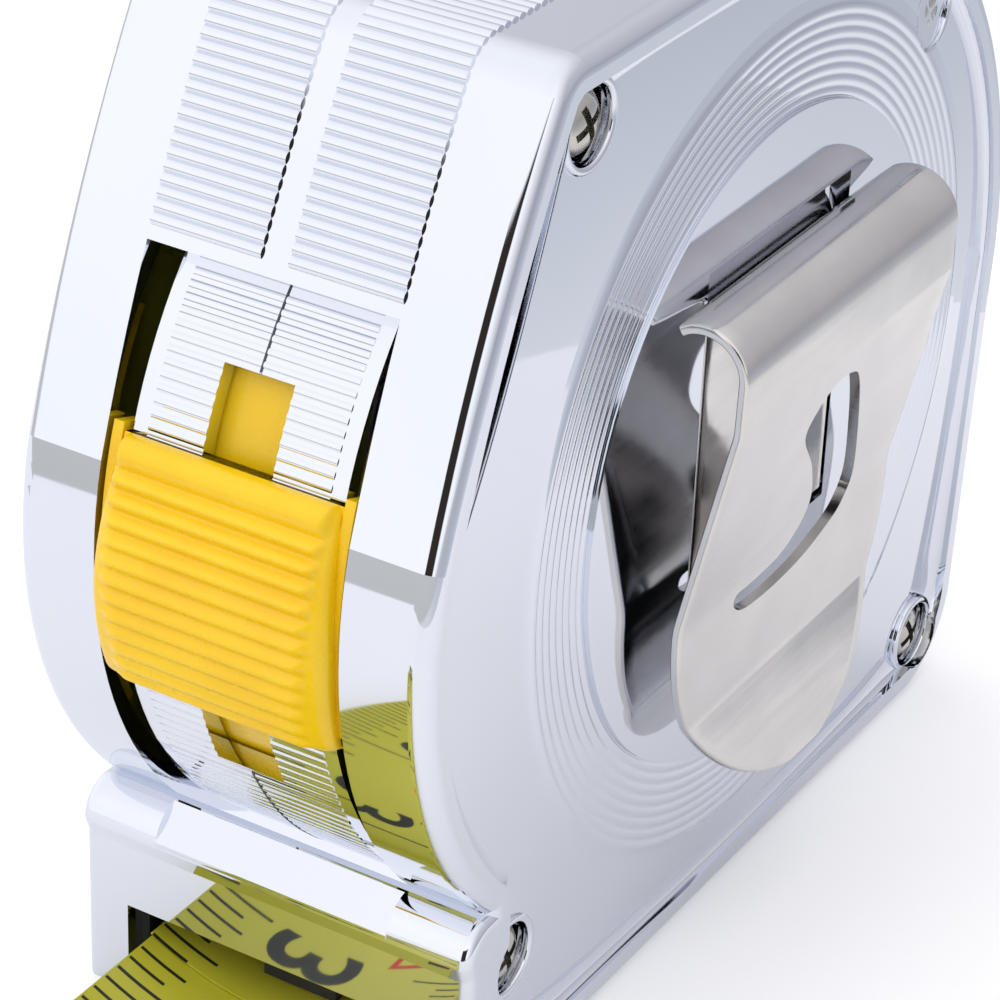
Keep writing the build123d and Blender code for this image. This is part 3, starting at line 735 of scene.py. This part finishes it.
def prism(loop, low, high):
    """A side view outline made solid between two planes across the case, as mesh data."""
    work = bmesh.new()
    ends = [[work.verts.new((x * MM, q[0] * MM, q[1] * MM)) for q in loop] for x in (low, high)]
    work.faces.new(ends[0])
    work.faces.new(reversed(ends[1]))
    for k in range(len(loop)):
        m = (k + 1) % len(loop)
        work.faces.new((ends[0][k], ends[1][k], ends[1][m], ends[0][m]))
    bmesh.ops.recalc_face_normals(work, faces=work.faces)
    data = bpy.data.meshes.new("cutter")
    work.to_mesh(data)
    work.free()
    return data


def belt_clip():
    """The clip as one bent strip with softened edges and its slotted tongue."""
    path = clip_path()
    rows = []
    for i, point in enumerate(path):
        ahead = Vector(path[min(i + 1, len(path) - 1)]) - Vector(path[max(i - 1, 0)])
        out = Vector((-ahead.y, ahead.x)).normalized()
        half = clip_half(i, point)
        soft = min(CLIP_SOFT, half * 0.5)
        thick = CLIP_T / 2
        ring = [((-1 + 2 * k / 24) * (half - soft), thick) for k in range(25)]
        for face, turns in ((1, CLIP_SOFT_TURNS), (-1, reversed(CLIP_SOFT_TURNS))):
            ring += [(half - soft * (1 - math.sin(a)), face * (thick - soft * (1 - math.cos(a))))
                     for a in turns]
        ring += [(-y, -lift) for y, lift in ring]
        rows.append([(point[0] + out.x * lift, y, point[1] + out.y * lift) for y, lift in ring])
    width = len(rows[0])
    verts = [v for row in rows for v in row]
    faces = []
    for i in range(len(rows) - 1):
        for k in range(width):
            m = (k + 1) % width
            faces.append((i * width + k, i * width + m, (i + 1) * width + m, (i + 1) * width + k))
    faces.append(tuple(reversed(range(width))))
    faces.append(tuple((len(rows) - 1) * width + k for k in range(width)))
    piece = add_mesh("belt_clip", verts, faces, SPRING, None)
    work = bmesh.new()
    work.from_mesh(piece.data)
    bmesh.ops.recalc_face_normals(work, faces=work.faces)
    work.to_mesh(piece.data)
    work.free()
    cut_with(piece, prism(smooth_loop(CLIP_SLOT, 6), *CLIP_CUT_X))
    for poly in piece.data.polygons:
        poly.use_smooth = True
    edges = piece.modifiers.new("split", "EDGE_SPLIT")
    edges.split_angle = math.radians(50)
    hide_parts("belt_clip_leaf", "belt_clip_leg")
    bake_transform(piece)


belt_clip()


# ---------------------------------------------------------------- camera, floor and light

CAMERA_PLACE, LIGHT_TARGET = (0.13738, -0.24345, 0.19015), (0, 0, 0.04)         # in metres
FLOOR_CENTRE, FLOOR_R = (-45, -55), 190.0       # its edge lies where the photo's reflections show it


def camera():
    """The view: a long lens from the right front and above, with a slight roll."""
    azimuth, elevation, roll = math.radians(30.59), math.radians(29.73), math.radians(2.476)
    forward = Vector((-math.sin(azimuth) * math.cos(elevation), math.cos(azimuth) * math.cos(elevation),
                      -math.sin(elevation)))
    right = Vector((math.cos(azimuth), math.sin(azimuth), 0))
    up = right.cross(forward)
    across = math.cos(roll) * right + math.sin(roll) * up
    above = -math.sin(roll) * right + math.cos(roll) * up
    data = bpy.data.cameras.new("camera")
    data.sensor_width = 36
    data.lens = 135.6
    data.clip_start = 0.01
    cam = bpy.data.objects.new("camera", data)
    turn = Matrix((across, above, -forward)).transposed().to_4x4()
    cam.matrix_world = Matrix.Translation(CAMERA_PLACE) @ turn
    bpy.context.scene.collection.objects.link(cam)
    bpy.context.scene.camera = cam


def floor():
    """A pale round table top, as white to the eye as the background."""
    count = 128
    verts = []
    for i in range(count):
        turn = 2 * math.pi * i / count
        x = FLOOR_CENTRE[0] + FLOOR_R * math.cos(turn)
        y = FLOOR_CENTRE[1] + FLOOR_R * math.sin(turn)
        verts.append((x * MM, y * MM, 0))
    data = bpy.data.meshes.new("floor")
    data.from_pydata(verts, [], [tuple(range(count))])
    mat, tree, shader = new_material("floor_white", (0.90, 0.90, 0.91), 0.0, 0.6)
    tree.links.new(ramp(tree, noise(tree, 8, 2), (0.895, 0.895, 0.905), (0.91, 0.91, 0.92), 0.3, 0.7),
                   shader.inputs["Base Color"])
    path = tree.nodes.new("ShaderNodeLightPath")
    shader.inputs["Emission Color"].default_value = (1, 1, 1, 1)
    tree.links.new(ramp(tree, path.outputs["Is Camera Ray"], 0.0, 0.18), shader.inputs["Emission Strength"])
    data.materials.append(mat)
    piece = bpy.data.objects.new("floor", data)
    bpy.context.scene.collection.objects.link(piece)


def product(tree, a, b):
    node = tree.nodes.new("ShaderNodeMath")
    node.operation = "MULTIPLY"
    tree.links.new(a, node.inputs[0])
    tree.links.new(b, node.inputs[1])
    return node.outputs["Value"]


def window_mask(tree, source, low, high, soft):
    """One where the source lies between two values, falling off softly to nothing outside."""
    up = ramp(tree, source, 0.0, 1.0, low - soft, low)
    down = ramp(tree, source, 1.0, 0.0, high, high + soft)
    return product(tree, up, down)


def sky_ramp(tree, height, stops):
    """Colours by height, from (height from -1 to 1, colour) stops."""
    band = tree.nodes.new("ShaderNodeValToRGB")
    while len(band.color_ramp.elements) < len(stops):
        band.color_ramp.elements.new(0.5)
    for element, (z, colour) in zip(band.color_ramp.elements, stops):
        element.position = (z + 1) / 2
        element.color = (*colour, 1)
    tree.links.new(height, band.inputs["Fac"])
    return band.outputs["Color"]


def world():
    """Studio surroundings: bright to the front left, greyer to the back right, white to the eye."""
    sky = bpy.data.worlds.new("studio")
    bpy.context.scene.world = sky
    sky.use_nodes = True
    tree = sky.node_tree
    tree.nodes.clear()
    coord = tree.nodes.new("ShaderNodeTexCoord")
    split = tree.nodes.new("ShaderNodeSeparateXYZ")
    tree.links.new(coord.outputs["Generated"], split.inputs["Vector"])
    height = ramp(tree, split.outputs["Z"], 0.0, 1.0, -1.0, 1.0)
    front = sky_ramp(tree, height, [
        (-1.0, (0.8, 0.8, 0.82)), (-0.29, (0.8, 0.8, 0.82)), (-0.27, (0.62, 0.63, 0.62)),
        (-0.11, (0.66, 0.66, 0.65)), (-0.06, (1.18, 1.18, 1.19)), (0.5, (1.22, 1.21, 1.22)),
        (1.0, (1.1, 1.1, 1.12))])
    back = sky_ramp(tree, height, [
        (-1.0, (0.8, 0.8, 0.82)), (-0.50, (0.93, 0.94, 0.97)), (-0.33, (0.58, 0.60, 0.66)),
        (-0.11, (0.44, 0.45, 0.51)), (0.1, (0.56, 0.55, 0.59)), (0.5, (0.66, 0.65, 0.69)),
        (1.0, (1.0, 1.0, 1.02))])
    lean = tree.nodes.new("ShaderNodeVectorMath")
    lean.operation = "DOT_PRODUCT"
    lean.inputs[1].default_value = (-0.50, -0.86, 0.0)
    tree.links.new(coord.outputs["Generated"], lean.inputs[0])
    side = tree.nodes.new("ShaderNodeMix")
    side.data_type = "RGBA"
    tree.links.new(ramp(tree, lean.outputs["Value"], 0.0, 1.0, -0.55, 0.15), side.inputs["Factor"])
    tree.links.new(back, side.inputs["A"])
    tree.links.new(front, side.inputs["B"])
    across = window_mask(tree, split.outputs["X"], 0.08, 0.62, 0.05)
    level = window_mask(tree, split.outputs["Z"], -0.06, 0.40, 0.04)
    ahead = ramp(tree, split.outputs["Y"], 1.0, 0.0, -0.5, -0.4)
    dark_card = product(tree, product(tree, across, level), ahead)
    shaded = tree.nodes.new("ShaderNodeMix")
    shaded.data_type = "RGBA"
    shaded.inputs["B"].default_value = (0.035, 0.03, 0.025, 1)
    tree.links.new(dark_card, shaded.inputs["Factor"])
    tree.links.new(side.outputs["Result"], shaded.inputs["A"])
    seen = tree.nodes.new("ShaderNodeBackground")
    seen.inputs["Color"].default_value = (1, 1, 1, 1)
    lit = tree.nodes.new("ShaderNodeBackground")
    tree.links.new(shaded.outputs["Result"], lit.inputs["Color"])
    path = tree.nodes.new("ShaderNodeLightPath")
    mix = tree.nodes.new("ShaderNodeMixShader")
    out = tree.nodes.new("ShaderNodeOutputWorld")
    tree.links.new(path.outputs["Is Camera Ray"], mix.inputs["Fac"])
    tree.links.new(lit.outputs["Background"], mix.inputs[1])
    tree.links.new(seen.outputs["Background"], mix.inputs[2])
    tree.links.new(mix.outputs["Shader"], out.inputs["Surface"])


def softbox(name, place, size, power, colour=(1, 1, 1)):
    """A soft lamp aimed at the case, which the chrome doesn't mirror."""
    data = bpy.data.lights.new(name, "AREA")
    data.shape = "RECTANGLE"
    data.size, data.size_y = size
    data.energy = power
    data.color = colour
    light = bpy.data.objects.new(name, data)
    light.location = place
    aim = Vector(LIGHT_TARGET) - Vector(place)
    light.rotation_euler = aim.to_track_quat("-Z", "Y").to_euler()
    light.visible_glossy = False
    bpy.context.scene.collection.objects.link(light)


camera()
floor()
world()
softbox("key", (-0.35, -0.55, 0.75), (0.5, 0.5), 1.0)
softbox("fill", (0.75, -0.10, 0.55), (0.5, 0.4), 0.4, (0.95, 0.97, 1.0))
softbox("top", (0.0, 0.25, 0.95), (0.7, 0.5), 0.9)
view = bpy.context.scene.view_settings
view.view_transform = "Standard"
view.look = "None"
view.exposure = 0.0
